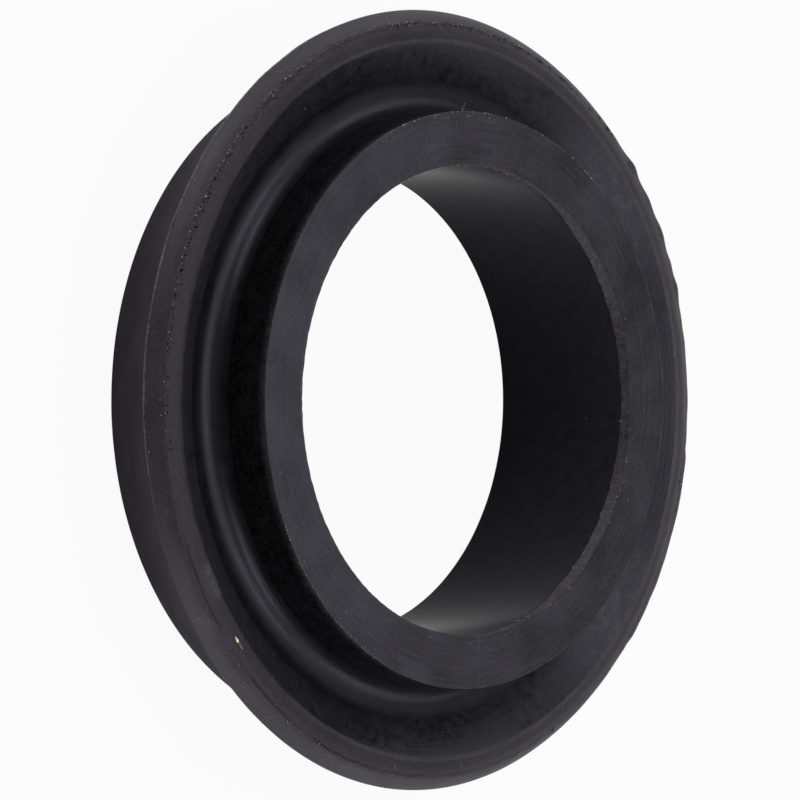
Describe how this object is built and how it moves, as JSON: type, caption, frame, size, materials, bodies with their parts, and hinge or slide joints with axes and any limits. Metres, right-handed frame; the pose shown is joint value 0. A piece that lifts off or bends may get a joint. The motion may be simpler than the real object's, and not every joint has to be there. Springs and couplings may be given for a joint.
{
  "type": "hose gasket",
  "caption": "Moulded black rubber ring with a raised hub, a shallow groove, a rounded lip and a hollow flank, which seals a twist-lug air-hose coupling.",
  "frame": {"origin": "centre of the flat back face, on the axis of the bore", "axes": "+Z along the bore, from the back face to the hub face; X and Y are any pair across it, because the ring is round"},
  "size_m": [0.0334, 0.0334, 0.0074],
  "materials": {
    "rubber": "matte black rubber, with a slight sheen on the moulded faces"
  },
  "bodies": {
    "root": {"gasket": "rubber"}
  },
  "joints": []
}
